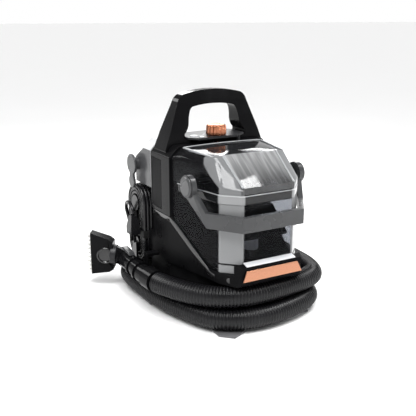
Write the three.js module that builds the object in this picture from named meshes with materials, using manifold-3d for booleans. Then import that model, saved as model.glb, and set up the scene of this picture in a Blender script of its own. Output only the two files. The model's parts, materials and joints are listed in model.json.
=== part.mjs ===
// Spot extractor: a carry-about wet cleaner with a clear recovery tank in front, a black spine with
// its carry handle, a clean water tank behind, and a ribbed hose wound round the base.
// Millimetres, +Z up. The front, with the recovery tank, faces -Y. +X is to the right seen from the front.
import * as THREE from "three";
import { ConvexGeometry } from "three/addons/geometries/ConvexGeometry.js";
import { mergeVertices } from "three/addons/utils/BufferGeometryUtils.js";
import Module from "manifold-3d";

const wasm = await Module();
wasm.setup();

// ---- driving dimensions -------------------------------------------------------------------------
const GAP = 0.4; // clearance between touching pieces
const WALL = 2.6; // moulded wall thickness
const SHIFT_Y = 29; // puts the middle of the footprint at the origin
const ROUND = 28; // sides of a plain round piece

const BODY = 105; // half width of the housing at the spine
const NOSE = { half: 61, topHalf: 52, y: -218, low: 95, high: 115, ledge: 122 };
const SPINE = { front: -50, rear: 27, foot: 172, shoulder: 281, top: 300, half: 108, topHalf: 89 };
const DECK = { spine: 172, front: 103, slopeStart: -50, slopeEnd: -153, tank: 122 };
const SKIRT = { low: 14, ledge: 84 }; // the hose lies in the band below the ledge
const TANK = { rear: -52, side: 103, shoulderY: -178, shoulderX: 78, front: -204, frontX: 52 };
const SEAM = 240; // where lid and recovery tank meet
const LID = { rearTop: 298, slopeTop: 294, slopeY: -142, brow: 252 };
const CLEAN = { left: -76, right: 100, front: 30, rear: 108, top: 300, bevelY: 62, bevelZ: 262 };
const HANDLE = { foot: 103.6, footZ: 286, baseZ: 300.4, corner: 70, cornerZ: 381, top: 394, middle: -5 };
const OPENING = { low: 58, lowZ: 312, high: 49, highZ: 363 };
const PLATE = { z: 308, thick: 3, front: -49, rear: 24 };
const DIAL = { r: 19, low: 311.4, high: 331, y: -30, ribs: 12 };
const PIVOT = { x: 103, y: -129, z: 247, r: 20 };
const BAIL = { outer: -222, inner: -212.5, low: 181, high: 207, thick: 9 };
const HOOK = { y: 90, z: 246, x: -116.4, thick: 5, r: 20, lobeZ: 212, lobeR: 13 };
const HANK = { y: 90, z: 126, run: 84, inner: 21, layers: 3, columns: 4, cord: 7, x: -89.5 };
const HOSE = { r: 19, low: 22.8, high: 61.9 };
const WAND = { r: 16.5 };
const INLET = { x: 44, y: 152, z: 44 };
const RECESS = { x: -80, y: 48, low: 42 };

// ---- finishes -----------------------------------------------------------------------------------
const finishes = {
  gloss: { color: 0x0a0a0b, roughness: 0.18, metalness: 0 },
  satin: { color: 0x202123, roughness: 0.45, metalness: 0 },
  charcoal: { color: 0x4c4d50, roughness: 0.42, metalness: 0 },
  clear: { color: 0xc9ced2, roughness: 0.06, metalness: 0, transparent: true, opacity: 0.35 },
  smoke: { color: 0x2a2c2f, roughness: 0.1, metalness: 0, transparent: true, opacity: 0.6 },
  copper: { color: 0xc58263, roughness: 0.28, metalness: 0.9 },
  pale: { color: 0xd9dadb, roughness: 0.3, metalness: 0 },
  rubber: { color: 0x141414, roughness: 0.8, metalness: 0 },
  steel: { color: 0xa8abad, roughness: 0.3, metalness: 1 },
  board: { color: 0x1e5a35, roughness: 0.5, metalness: 0 },
  bristle: { color: 0xf2f2ef, roughness: 0.7, metalness: 0 },
};

// ---- shape helpers ------------------------------------------------------------------------------
function solid(geometry) {
  const bare = geometry.clone();
  bare.deleteAttribute("normal");
  bare.deleteAttribute("uv");
  const merged = mergeVertices(bare, 1e-4);
  return new wasm.Manifold(new wasm.Mesh({
    numProp: 3,
    vertProperties: merged.attributes.position.array,
    triVerts: merged.index.array,
  }));
}

function surface(manifold) {
  const mesh = manifold.getMesh();
  const geometry = new THREE.BufferGeometry();
  geometry.setAttribute("position", new THREE.BufferAttribute(mesh.vertProperties, 3));
  geometry.setIndex(new THREE.BufferAttribute(mesh.triVerts, 1));
  return geometry;
}

const joined = (...parts) => parts.reduce((all, next) => all.add(next));
const cut = (whole, ...tools) => tools.reduce((left, tool) => left.subtract(tool), whole);

function shapeOf(points) {
  return new THREE.Shape(points.map(([a, b]) => new THREE.Vector2(a, b)));
}

// A flat outline pushed out along one axis; the outline's own axes are the other two, in X, Y, Z order.
function extruded(outline, from, to, basis, origin) {
  const shape = outline instanceof THREE.Shape ? outline : shapeOf(outline);
  const depth = to - from;
  const geometry = new THREE.ExtrudeGeometry(shape, { depth, bevelEnabled: false, curveSegments: 7 });
  geometry.applyMatrix4(new THREE.Matrix4().makeBasis(...basis));
  geometry.translate(...origin);
  return solid(geometry);
}
const X = new THREE.Vector3(1, 0, 0);
const Y = new THREE.Vector3(0, 1, 0);
const Z = new THREE.Vector3(0, 0, 1);
const alongZ = (outline, from, to) => extruded(outline, from, to, [X, Y, Z], [0, 0, from]);
const alongX = (outline, from, to) => extruded(outline, from, to, [Y, Z, X], [from, 0, 0]);
const alongY = (outline, from, to) => extruded(outline, from, to, [X, Z, Y.clone().negate()], [0, to, 0]);

function box(low, high) {
  const size = high.map((value, i) => value - low[i]);
  const geometry = new THREE.BoxGeometry(...size);
  geometry.translate(...low.map((value, i) => value + size[i] / 2));
  return solid(geometry);
}

// A round bar between two points, of one radius or tapering to a second one.
function rod(start, end, r, rEnd = r, sides = ROUND) {
  const a = new THREE.Vector3(...start);
  const b = new THREE.Vector3(...end);
  const geometry = new THREE.CylinderGeometry(rEnd, r, a.distanceTo(b), sides);
  const turn = new THREE.Quaternion().setFromUnitVectors(Y, b.clone().sub(a).normalize());
  geometry.applyQuaternion(turn);
  geometry.translate(...a.add(b).multiplyScalar(0.5).toArray());
  return solid(geometry);
}

function hull(points) {
  return solid(new ConvexGeometry(points.map((p) => new THREE.Vector3(...p))));
}

// Every point with its mirror image across the plane x = 0.
const mirrored = (points) => points.flatMap(([x, y, z]) => [[x, y, z], [-x, y, z]]);

// A closed outline from a half outline of [x, y], listed from the back to the front.
const bothSides = (half) => [...half.map(([x, y]) => [-x, y]), ...half.slice().reverse()];

function tube(points, r, steps, sides) {
  const path = new THREE.CatmullRomCurve3(points.map((p) => new THREE.Vector3(...p)), false, "centripetal");
  const ring = [];
  for (let i = 0; i < sides; i += 1) {
    const angle = (2 * Math.PI * i) / sides;
    ring.push([r * Math.cos(angle), r * Math.sin(angle)]);
  }
  return solid(new THREE.ExtrudeGeometry(shapeOf(ring), { steps, extrudePath: path, bevelEnabled: false }));
}

// A racetrack on the Y Z plane: two half circles joined by vertical runs.
function racetrack(radius, run, y, z) {
  const shape = new THREE.Shape();
  shape.absarc(y, z + run / 2, radius, 0, Math.PI);
  shape.absarc(y, z - run / 2, radius, Math.PI, 2 * Math.PI);
  return shape;
}

const machine = new THREE.Group();
machine.position.y = SHIFT_Y;

function piece(name, manifold, finish) {
  const geometry = surface(manifold);
  geometry.computeVertexNormals();
  const mesh = new THREE.Mesh(geometry, new THREE.MeshStandardMaterial(finishes[finish]));
  mesh.name = name;
  machine.add(mesh);
}

// ---- lower housing: skirt, side walls, tank cradle and nose --------------------------------------
const corePlan = (inset) => bothSides([
  [66 - inset, 126 - inset], [100 - inset, 92 - inset], [103 - inset, -10], [96 - inset, -76],
  [79 - inset, -145], [52 - inset, -176 + inset],
]);
const wallPlan = (inset) => {
  const half = [
    [BODY - inset, 112 - inset], [BODY - inset, SPINE.front + 2],
    [81 - inset, -180 + inset / 2], [NOSE.half - inset, NOSE.y + inset],
  ];
  return bothSides(half);
};
// The recess behind the spine on the left side, where the cord hangs.
function recessTool(grow) {
  const low = [-160, RECESS.y - grow, RECESS.low - grow];
  return box(low, [RECESS.x + grow, 160, 400]);
}
// Seen from the side: deck under spine and clean tank, slope under the recovery tank, then the nose.
const sideProfile = (inset) => [
  [120, SKIRT.ledge], [120, DECK.tank - inset], [SPINE.rear + inset / 2, DECK.tank - inset],
  [SPINE.rear + inset / 2, DECK.spine - inset], [DECK.slopeStart + inset / 3, DECK.spine - inset],
  [DECK.slopeEnd + inset / 3, DECK.front - inset], [-205 + inset, DECK.front - inset],
  [-205 + inset, NOSE.ledge - inset], [-217 + inset, NOSE.ledge - 3 - inset], [-222, NOSE.low],
  [-212, SKIRT.ledge],
];
function lowerHousing() {
  const ledge = SKIRT.ledge;
  const outside = joined(
    alongZ(corePlan(0), SKIRT.low, ledge + 3),
    alongZ(wallPlan(0), ledge, 200).intersect(alongX(sideProfile(0), -BODY, BODY)),
  );
  const inside = joined(
    alongZ(corePlan(WALL), SKIRT.low - 2, ledge + 6),
    alongZ(wallPlan(WALL), ledge + WALL, 200).intersect(alongX(sideProfile(WALL), -BODY, BODY)),
  );
  const shell = cut(outside, inside.subtract(recessTool(WALL)), recessTool(0));
  const rearRoof = box([RECESS.x, RECESS.y, ledge], [RECESS.x + WALL, 112, DECK.tank]);
  const capWell = rod([9, 70, 100], [9, 70, 140], 27);
  const hoseHole = rod([INLET.x, 100, INLET.z], [INLET.x, 140, INLET.z], 15);
  const airHole = box([13, SPINE.front + 8, 165], [47, SPINE.front + 31, 180]);
  return cut(joined(shell, rearRoof.intersect(outside)), capWell, hoseHole, airHole);
}
piece("lower_housing", lowerHousing(), "satin");

// ---- base pan, its hose lugs, and the feet -------------------------------------------------------
const LUG = { low: 0.8, high: 3.4 };
const FEET = [["foot_front_left", -58, -134], ["foot_front_right", 58, -134],
  ["foot_rear_left", -72, 92], ["foot_rear_right", 72, 92]];
function basePan() {
  // The left front lug reaches out from under the hose and the right one stops beneath it.
  const frontLug = [[70, -120], [96, -185], [97, -206], [77, -226], [50, -214], [30, -150]];
  const frontLeft = frontLug.map(([x, y]) => [-x, y]);
  const frontRight = frontLug.map(([x, y]) => [x, Math.max(y, -200)]).reverse();
  const side = [[-141, -28], [-141, 28], [-90, 40], [90, 40], [141, 28], [141, -28], [90, -40], [-90, -40]];
  const rear = bothSides([[40, 130], [66, 168], [84, 168], [112, 148], [112, 132], [80, 100]]);
  const plate = (outline) => alongZ(outline, LUG.low, LUG.high + 1);
  const raised = alongZ(corePlan(WALL + 1), LUG.high - 1, SKIRT.low - GAP);
  const lugs = joined(plate(frontLeft), plate(frontRight), plate(side), plate(rear.slice().reverse()));
  const under = alongZ(corePlan(0), LUG.low, 9);
  const trimmed = lugs.subtract(box([-300, -300, LUG.high], [300, 300, 20]));
  const pan = joined(trimmed, under.intersect(raised), raised);
  return cut(pan, ...FEET.map(([, x, y]) => rod([x, y, -1], [x, y, 6], 12)));
}
piece("base_pan", basePan(), "charcoal");
for (const [name, x, y] of FEET) {
  piece(name, rod([x, y, 0], [x, y, 6 - GAP], 12 - GAP, 12 - GAP, 20), "rubber");
}

// ---- nameplate and the pale strip above it -------------------------------------------------------
const facePlate = (lowY, highY, low, high, lowHalf, highHalf, depth) => hull(mirrored([
  [lowHalf, lowY, low], [highHalf, highY, high],
  [lowHalf, lowY - depth, low], [highHalf, highY - depth, high],
]));
const nameplate = facePlate(-221.3, -218.6, NOSE.low + 1, NOSE.high - 1, NOSE.half - 1, NOSE.topHalf, 2);
piece("nameplate", nameplate, "copper");
piece("nose_strip", hull(mirrored([
  [50, -205.6, 122.5], [50, -217, 119.5], [50, -217, 121.5], [50, -205.6, 124.5],
])), "pale");

// ---- spine ---------------------------------------------------------------------------------------
const spineFront = (inset) => {
  const half = [
    [SPINE.half - inset, SPINE.foot + GAP - (inset ? 3 : 0)],
    [SPINE.half - inset, SPINE.shoulder - inset / 2],
    [SPINE.topHalf - inset, SPINE.top - inset],
  ];
  return bothSides(half);
};
const PANEL = { low: 180, high: 272, front: -16, rear: 23, deep: 2.4 };
function spineShell() {
  const outside = alongY(spineFront(0), SPINE.front, SPINE.rear);
  const inside = alongY(spineFront(WALL + 1), SPINE.front + WALL, SPINE.rear - WALL);
  const pocket = (side) => {
    const [a, b] = [SPINE.half - PANEL.deep, SPINE.half + 5].map((v) => side * v);
    return box([Math.min(a, b), PANEL.front, PANEL.low], [Math.max(a, b), PANEL.rear, PANEL.high]);
  };
  const tankPort = rod([-30, SPINE.front - 2, 205], [-30, SPINE.front + 8, 205], 13);
  const airPort = rod([30, SPINE.front - 2, 205], [30, SPINE.front + 8, 205], 13);
  const shaftHole = rod([0, DIAL.y, SPINE.top - 6], [0, DIAL.y, SPINE.top + 4], 6);
  return cut(outside, inside, pocket(-1), pocket(1), tankPort, airPort, shaftHole);
}
piece("spine_shell", spineShell(), "gloss");
for (const [name, side] of [["side_panel_left", -1], ["side_panel_right", 1]]) {
  const [a, b] = [SPINE.half - PANEL.deep + GAP, SPINE.half - 0.4].map((v) => side * v);
  const low = [Math.min(a, b), PANEL.front + GAP, PANEL.low + GAP];
  const high = [Math.max(a, b), PANEL.rear - GAP, PANEL.high - GAP];
  piece(name, box(low, high), "satin");
}
for (const [name, x] of [["gasket_inlet", -30], ["gasket_air", 30]]) {
  const ring = rod([x, SPINE.front - 1.2, 205], [x, SPINE.front + 4, 205], 12.6);
  piece(name, ring.subtract(rod([x, SPINE.front - 3, 205], [x, SPINE.front + 6, 205], 8)), "rubber");
}

// ---- carry handle, control plate, dial and buttons -----------------------------------------------
const BUTTONS = [["power_button", -45, -26, 6.5], ["steam_button", -37, -41, 4.5]];
const LENS = { x: -24, y: -44, r: 2.4 };
const buttonHoles = () => BUTTONS.map(([, x, y, r]) => rod([x, y, 290], [x, y, 320], r + GAP, r + GAP, 20));
function carryHandle() {
  // The legs come straight down and sit astride the spine's bevelled shoulders.
  const saddle = SPINE.topHalf + GAP;
  const outer = new THREE.Shape();
  outer.moveTo(-saddle, HANDLE.baseZ);
  outer.lineTo(saddle, HANDLE.baseZ);
  outer.lineTo(HANDLE.foot, HANDLE.footZ);
  outer.lineTo(HANDLE.foot + 0.6, HANDLE.footZ + 4);
  outer.lineTo(HANDLE.corner + 4, HANDLE.cornerZ - 12);
  outer.quadraticCurveTo(HANDLE.corner, HANDLE.cornerZ + 4, HANDLE.corner - 14, HANDLE.cornerZ + 6.5);
  outer.quadraticCurveTo(0, 2 * HANDLE.top - HANDLE.cornerZ - 6.5, -HANDLE.corner + 14, HANDLE.cornerZ + 6.5);
  outer.quadraticCurveTo(-HANDLE.corner, HANDLE.cornerZ + 4, -HANDLE.corner - 4, HANDLE.cornerZ - 12);
  outer.lineTo(-HANDLE.foot - 0.6, HANDLE.footZ + 4);
  outer.lineTo(-HANDLE.foot, HANDLE.footZ);
  outer.lineTo(-saddle, HANDLE.baseZ);
  const inner = new THREE.Shape();
  inner.moveTo(-OPENING.low - 6, HANDLE.baseZ + 6.5);
  inner.lineTo(OPENING.low + 6, HANDLE.baseZ + 6.5);
  inner.lineTo(OPENING.low + 6, OPENING.lowZ + 4);
  inner.quadraticCurveTo(OPENING.low - 2, OPENING.lowZ + 12, OPENING.low - 4, OPENING.lowZ + 22);
  inner.quadraticCurveTo(OPENING.high + 2, OPENING.highZ, OPENING.high - 8, OPENING.highZ + 1);
  inner.quadraticCurveTo(0, OPENING.highZ + 9, -OPENING.high + 8, OPENING.highZ + 1);
  inner.quadraticCurveTo(-OPENING.high - 2, OPENING.highZ, -OPENING.low + 4, OPENING.lowZ + 22);
  inner.quadraticCurveTo(-OPENING.low + 2, OPENING.lowZ + 12, -OPENING.low - 6, OPENING.lowZ + 4);
  const side = [
    [HANDLE.middle + 24, HANDLE.footZ], [HANDLE.middle + 22, 318], [HANDLE.middle + 12, 372],
    [HANDLE.middle + 9, 400], [HANDLE.middle - 9, 400], [HANDLE.middle - 12, 372],
    [HANDLE.middle - 22, 318], [HANDLE.middle - 24, HANDLE.footZ],
  ];
  const bar = alongY(outer, -60, 60).subtract(alongY(inner, -60, 60));
  const shaftHole = rod([0, DIAL.y, SPINE.top - 6], [0, DIAL.y, SPINE.top + 12], 6.5);
  return cut(bar.intersect(alongX(side, -120, 120)), shaftHole, gripInsert(GAP), ...buttonHoles());
}
// The soft insert on the underside of the arch.
function gripInsert(grow) {
  return box([-40 - grow, HANDLE.middle - 7 - grow, OPENING.highZ - 2],
    [40 + grow, HANDLE.middle + 7 + grow, OPENING.highZ + 8 + grow]);
}
function handleGrip() {
  const arch = new THREE.Shape();
  arch.moveTo(-39, OPENING.highZ + 1.6);
  arch.quadraticCurveTo(0, OPENING.highZ + 6.4, 39, OPENING.highZ + 1.6);
  arch.lineTo(39, OPENING.highZ + 7.6);
  arch.lineTo(-39, OPENING.highZ + 7.6);
  return alongY(arch, HANDLE.middle - 7, HANDLE.middle + 7);
}
piece("carry_handle", carryHandle(), "gloss");
piece("handle_grip", handleGrip(), "rubber");

function controlPlate() {
  const outline = [[-60, 14], [-44, PLATE.rear], [44, PLATE.rear], [60, 14], [60, -30], [34, PLATE.front],
    [-46, PLATE.front], [-60, -34]];
  const peg = rod([40, PLATE.front + 5, SPINE.top + GAP], [40, PLATE.front + 5, PLATE.z + 1], 3, 3, 12);
  const plate = joined(alongZ(outline, PLATE.z - 0.6, PLATE.z + PLATE.thick), peg);
  const lens = rod([LENS.x, LENS.y, 290], [LENS.x, LENS.y, 320], LENS.r + GAP);
  const shaft = rod([0, DIAL.y, 290], [0, DIAL.y, 320], 5.5);
  return cut(plate, ...buttonHoles(), lens, shaft);
}
piece("control_plate", controlPlate(), "charcoal");
for (const [name, x, y, r] of BUTTONS) {
  piece(name, rod([x, y, PLATE.z + 1], [x, y, PLATE.z + PLATE.thick + 2], r, r, 20), "pale");
}
const lensTop = [LENS.x, LENS.y, PLATE.z + PLATE.thick + 0.6];
piece("indicator_lens", rod([LENS.x, LENS.y, PLATE.z], lensTop, LENS.r, LENS.r, 16), "smoke");

function modeDial() {
  const outline = [];
  const points = DIAL.ribs * 4;
  for (let i = 0; i < points; i += 1) {
    const angle = (2 * Math.PI * i) / points;
    const r = DIAL.r - (i % 4 < 2 ? 0 : 1.6);
    outline.push([r * Math.cos(angle), DIAL.y + r * Math.sin(angle)]);
  }
  const knob = alongZ(outline, DIAL.low, DIAL.high - 2);
  const cap = rod([0, DIAL.y, DIAL.high - 3], [0, DIAL.y, DIAL.high], DIAL.r - 2.2, DIAL.r - 4);
  const stem = rod([0, DIAL.y, SPINE.top - 5], [0, DIAL.y, DIAL.low + 1], 4.5, 4.5, 16);
  return joined(knob, cap, stem);
}
piece("mode_dial", modeDial(), "copper");

// ---- recovery tank, lid, separator, float and bail ------------------------------------------------
const tankPlan = (inset) => bothSides([
  [TANK.side - inset, TANK.rear - inset], [TANK.shoulderX - inset, TANK.shoulderY],
  [TANK.frontX - inset / 2, TANK.front + inset],
]);
const tankSide = (inset, top) => [
  [TANK.rear + inset, top], [TANK.rear + inset, DECK.spine + 1.2 + inset],
  [DECK.slopeEnd + inset / 2, DECK.front + GAP + inset], [-210, DECK.front + GAP + inset], [-210, top],
];
// A round boss on each side wall carries the bail, and an ear behind it stands up past the seam.
const pivotRod = (side, from, to, r) =>
  rod([side * from, PIVOT.y, PIVOT.z], [side * to, PIVOT.y, PIVOT.z], r);
const WALL_AT_PIVOT = 87.7;
function pivotEar(side) {
  const wall = alongZ(tankPlan(0), 200, 275).subtract(alongZ(tankPlan(WALL), 190, 280));
  return wall.intersect(pivotRod(side, 60, 110, PIVOT.r));
}
function recoveryTank() {
  const outside = alongZ(tankPlan(0), 90, SEAM).intersect(alongX(tankSide(0, SEAM), -BODY, BODY));
  const inside = alongZ(tankPlan(WALL), 90, 280).intersect(alongX(tankSide(WALL, 285), -BODY, BODY));
  const bosses = [-1, 1].flatMap((side) => [
    pivotEar(side), pivotRod(side, WALL_AT_PIVOT - 1.5, PIVOT.x + 1.5, 11),
  ]);
  const inletPort = rod([-30, TANK.rear - 6, 205], [-30, TANK.rear + 2, 205], 9);
  const airPort = rod([30, TANK.rear - 6, 205], [30, TANK.rear + 2, 205], 9);
  return cut(joined(outside, ...bosses), inside, inletPort, airPort);
}
piece("recovery_tank", recoveryTank(), "clear");

const lidPoints = (inset, foot) => mirrored([
  [TANK.side - inset, TANK.rear - inset, foot], [TANK.shoulderX - inset, TANK.shoulderY, foot],
  [TANK.frontX - inset / 2, TANK.front + inset, foot],
  [TANK.side - inset, TANK.rear - inset, 283 - inset / 2], [86 - inset, -126, 279 - inset / 2],
  [TANK.shoulderX - inset, TANK.shoulderY + inset / 2, LID.brow - inset],
  [TANK.frontX - 2 - inset / 2, TANK.front + inset, LID.brow - inset / 2],
  [82 - inset, TANK.rear - inset, LID.rearTop - inset], [71 - inset, LID.slopeY, LID.slopeTop - inset],
  [54 - inset, LID.slopeY - 2 + inset / 2, LID.slopeTop + 2 - inset],
  [0.01, -100, 303 - inset],
]);
function tankLid() {
  const outside = hull(lidPoints(0, SEAM + GAP));
  const inside = hull(lidPoints(WALL, SEAM - 3));
  const notches = [-1, 1].flatMap((side) => {
    const [a, b] = [WALL_AT_PIVOT - 12, WALL_AT_PIVOT + 20].map((v) => side * v);
    const low = [Math.min(a, b), PIVOT.y - PIVOT.r - 1, SEAM - 5];
    const high = [Math.max(a, b), PIVOT.y + PIVOT.r + 1, PIVOT.z];
    return [pivotRod(side, WALL_AT_PIVOT - 12, WALL_AT_PIVOT + 20, PIVOT.r + 1), box(low, high)];
  });
  return cut(outside.subtract(inside), ...notches);
}
piece("tank_lid", tankLid(), "clear");

function sealRing() {
  const outer = alongZ(tankPlan(WALL + 0.5), SEAM - 7, SEAM - 1);
  return outer.subtract(alongZ(tankPlan(WALL + 4), SEAM - 9, SEAM + 1));
}
piece("tank_seal", sealRing(), "rubber");

// A hanging baffle inside the tank: a dark shelf with a chimney at the back for the air.
function separator() {
  const shelf = [[-60, 214], [-60, 210], [-150, 196], [-196, 158], [-196, 162], [-152, 201]];
  const chimney = box([8, -64, 180], [52, -58, 232]);
  const rib = box([-4, -120, 196], [4, -60, 226]);
  return joined(alongX(shelf, -46, 46), chimney, rib, box([-46, -64, 196], [46, -60, 230]));
}
piece("tank_separator", separator(), "satin");
const FLOAT = { y: -152, low: 126, high: 146, r: 13 };
piece("float_guide", rod([0, FLOAT.y, 112], [0, FLOAT.y, 188], 3, 3, 12), "satin");
const floatBody = rod([0, FLOAT.y, FLOAT.low], [0, FLOAT.y, FLOAT.high], FLOAT.r, FLOAT.r, 20);
piece("float", floatBody.subtract(rod([0, FLOAT.y, 120], [0, FLOAT.y, 160], 3.6, 3.6, 12)), "pale");

function bail() {
  const arm = (side) => {
    const [px, pt] = [PIVOT.x + 3, PIVOT.x + 3 + BAIL.thick];
    const root = [[-11, -1], [11, -15]];
    const atPivot = root.flatMap(([dy, dz]) => [px, pt].map((x) => [x, PIVOT.y + dy, PIVOT.z + dz]));
    const bend = [[92, -164, 208], [101, -167, 208], [92, -166, 183], [101, -170, 183]];
    const corner = [BAIL.low, BAIL.high].flatMap((z) => [[57, BAIL.inner, z], [61, BAIL.outer, z]]);
    const flip = (points) => points.map(([x, y, z]) => [side * x, y, z]);
    return joined(
      rod([side * px, PIVOT.y, PIVOT.z], [side * pt, PIVOT.y, PIVOT.z], PIVOT.r),
      hull(flip([...atPivot, ...bend])), hull(flip([...bend, ...corner])),
    );
  };
  const barEnd = [BAIL.low, BAIL.high].flatMap((z) => [[57.5, BAIL.inner, z], [61, BAIL.outer, z]]);
  const bar = hull(mirrored(barEnd));
  const bores = rod([-130, PIVOT.y, PIVOT.z], [130, PIVOT.y, PIVOT.z], 5.4, 5.4, 20);
  return joined(arm(-1), arm(1), bar).subtract(bores);
}
piece("bail_handle", bail(), "charcoal");
for (const [name, side] of [["pivot_cap_left", -1], ["pivot_cap_right", 1]]) {
  const face = PIVOT.x + 3 + BAIL.thick + GAP;
  const [domeFoot, domeTop] = [face + 2.2, face + 4].map((x) => [side * x, PIVOT.y, PIVOT.z]);
  const pinRadius = 4.8;
  const cap = joined(
    pivotRod(side, face, face + 2.4, PIVOT.r - 1), pivotRod(side, PIVOT.x + 2, face + 1, pinRadius),
    rod(domeFoot, domeTop, PIVOT.r - 2, PIVOT.r - 5),
  );
  piece(name, cap, "charcoal");
}

// ---- clean water tank, its cap and valve ----------------------------------------------------------
const cleanPoints = (inset) => {
  const [left, right] = [CLEAN.left + inset, CLEAN.right - inset];
  const [front, rear] = [CLEAN.front + inset, CLEAN.rear - inset];
  const low = DECK.tank + GAP + inset;
  const corners = (a, b, y, z) => [[a, y, z], [b, y, z]];
  return [
    ...corners(left, right, front, low), ...corners(left + 12, right - 12, rear, low),
    ...corners(left, right, rear - 12, low), ...corners(left + 12, right - 12, rear, CLEAN.bevelZ),
    ...corners(left, right, rear - 12, CLEAN.bevelZ - 3), ...corners(left, right, front, 281 - inset / 2),
    ...corners(left, right, CLEAN.bevelY - 2, 281 - inset / 2),
    ...corners(left + 18, right - 18, front, CLEAN.top - inset),
    ...corners(left + 18, right - 18, CLEAN.bevelY - inset / 2, CLEAN.top - inset),
  ];
};
const CAP = { x: 9, y: 70, r: 22, low: 108 };
function cleanTank() {
  const neck = rod([CAP.x, CAP.y, DECK.tank - 6], [CAP.x, CAP.y, DECK.tank + 4], 15);
  const mouth = rod([CAP.x, CAP.y, DECK.tank - 10], [CAP.x, CAP.y, DECK.tank + 8], 12);
  return cut(joined(hull(cleanPoints(0)), neck), hull(cleanPoints(WALL)), mouth);
}
piece("clean_tank", cleanTank(), "smoke");
function fillCap() {
  const body = rod([CAP.x, CAP.y, CAP.low], [CAP.x, CAP.y, DECK.tank], CAP.r);
  const pocket = rod([CAP.x, CAP.y, CAP.low + 3], [CAP.x, CAP.y, DECK.tank + 2], 15 + GAP);
  return cut(body, pocket, rod([CAP.x, CAP.y, 90], [CAP.x, CAP.y, 130], 5 + GAP));
}
piece("fill_cap", fillCap(), "satin");
const stem = rod([CAP.x, CAP.y, CAP.low - 2], [CAP.x, CAP.y, CAP.low + 7.2], 5, 5, 16);
const seat = rod([CAP.x, CAP.y, CAP.low + 3.4], [CAP.x, CAP.y, CAP.low + 6], 8, 8, 16);
piece("tank_valve", joined(stem, seat), "rubber");

// ---- works inside the housing ---------------------------------------------------------------------
const FLOOR = SKIRT.low + 1;
const MOTOR = { x: 18, y: 20, r: 34, low: 58, high: 98, cap: 108 };
const PUMP = { x: -59, y: 50, front: 40, rear: 90, half: 17, top: 38, headTop: 56 };
const BOILER = { y: -86, halfDepth: 30, left: -60, right: 20, top: 46, inlet: -40, outlet: 0 };
function fanCasing() {
  const bowl = rod([MOTOR.x, MOTOR.y, FLOOR], [MOTOR.x, MOTOR.y, FLOOR + 34], 56, 56, 32);
  const hollow = rod([MOTOR.x, MOTOR.y, FLOOR + 3], [MOTOR.x, MOTOR.y, FLOOR + 31], 53, 53, 32);
  const outlet = box([MOTOR.x + 20, MOTOR.y - 14, FLOOR + 8], [MOTOR.x + 70, MOTOR.y + 14, FLOOR + 26]);
  return cut(bowl, hollow, outlet, rod([MOTOR.x, MOTOR.y, FLOOR + 20], [MOTOR.x, MOTOR.y, 90], 12));
}
piece("fan_casing", fanCasing(), "satin");
function fan() {
  const disc = rod([MOTOR.x, MOTOR.y, FLOOR + 6], [MOTOR.x, MOTOR.y, FLOOR + 8], 48, 48, 32);
  const hub = rod([MOTOR.x, MOTOR.y, FLOOR + 7], [MOTOR.x, MOTOR.y, FLOOR + 40], 8, 8, 16);
  const blades = [];
  for (let i = 0; i < 8; i += 1) {
    const angle = (i * Math.PI) / 4;
    const blade = box([10, -1, FLOOR + 7], [46, 1, FLOOR + 24]);
    const [c, s] = [Math.cos(angle), Math.sin(angle)];
    blades.push(blade.transform([c, s, 0, 0, -s, c, 0, 0, 0, 0, 1, 0, MOTOR.x, MOTOR.y, 0, 1]));
  }
  return joined(disc, hub, ...blades);
}
piece("suction_fan", fan(), "steel");
const onMotor = (from, to, r) => rod([MOTOR.x, MOTOR.y, from], [MOTOR.x, MOTOR.y, to], r);
const motorCan = joined(onMotor(MOTOR.low, MOTOR.high, MOTOR.r), onMotor(MOTOR.high - 1, MOTOR.cap, 16));
piece("suction_motor", motorCan.subtract(onMotor(MOTOR.low - 8, MOTOR.low + 6, 9)), "steel");
piece("water_pump", joined(
  box([PUMP.x - PUMP.half, PUMP.front, FLOOR], [PUMP.x + PUMP.half, PUMP.rear, PUMP.top]),
  rod([PUMP.x, PUMP.y, PUMP.top - 4], [PUMP.x, PUMP.y, PUMP.headTop], 13),
), "satin");
const boilerStub = (x, top, r) => rod([x, BOILER.y, BOILER.top - 2], [x, BOILER.y, top], r);
piece("steam_boiler", joined(
  box(
    [BOILER.left, BOILER.y - BOILER.halfDepth, FLOOR],
    [BOILER.right, BOILER.y + BOILER.halfDepth, BOILER.top],
  ),
  boilerStub(BOILER.inlet, 58, 9), boilerStub(BOILER.outlet, 54, 7),
), "steel");
piece("control_board", box([40, -60, 100], [92, -20, 102]), "board");
const WATER_ROUTE = [
  [PUMP.x, PUMP.y, PUMP.headTop + 1], [PUMP.x, PUMP.y, 64], [-59, 42, 76], [-59, 6, 79], [-56, -50, 79],
  [-44, -82, 74], [BOILER.inlet, BOILER.y, 65], [BOILER.inlet, BOILER.y, 59],
];
piece("water_tube", tube(WATER_ROUTE, 3.2, 26, 8), "pale");
piece("suction_duct", joined(
  box([14, SPINE.front + 9, 150], [46, SPINE.front + 30, 220]).subtract(
    box([17, SPINE.front + 12, 140], [43, SPINE.front + 27, 215]),
  ).subtract(rod([30, SPINE.front, 205], [30, SPINE.front + 15, 205], 8)),
), "satin");

// ---- cord bracket, hook, cord and plug -------------------------------------------------------------
const PEG = { r: 15.5, out: -115 };
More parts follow.
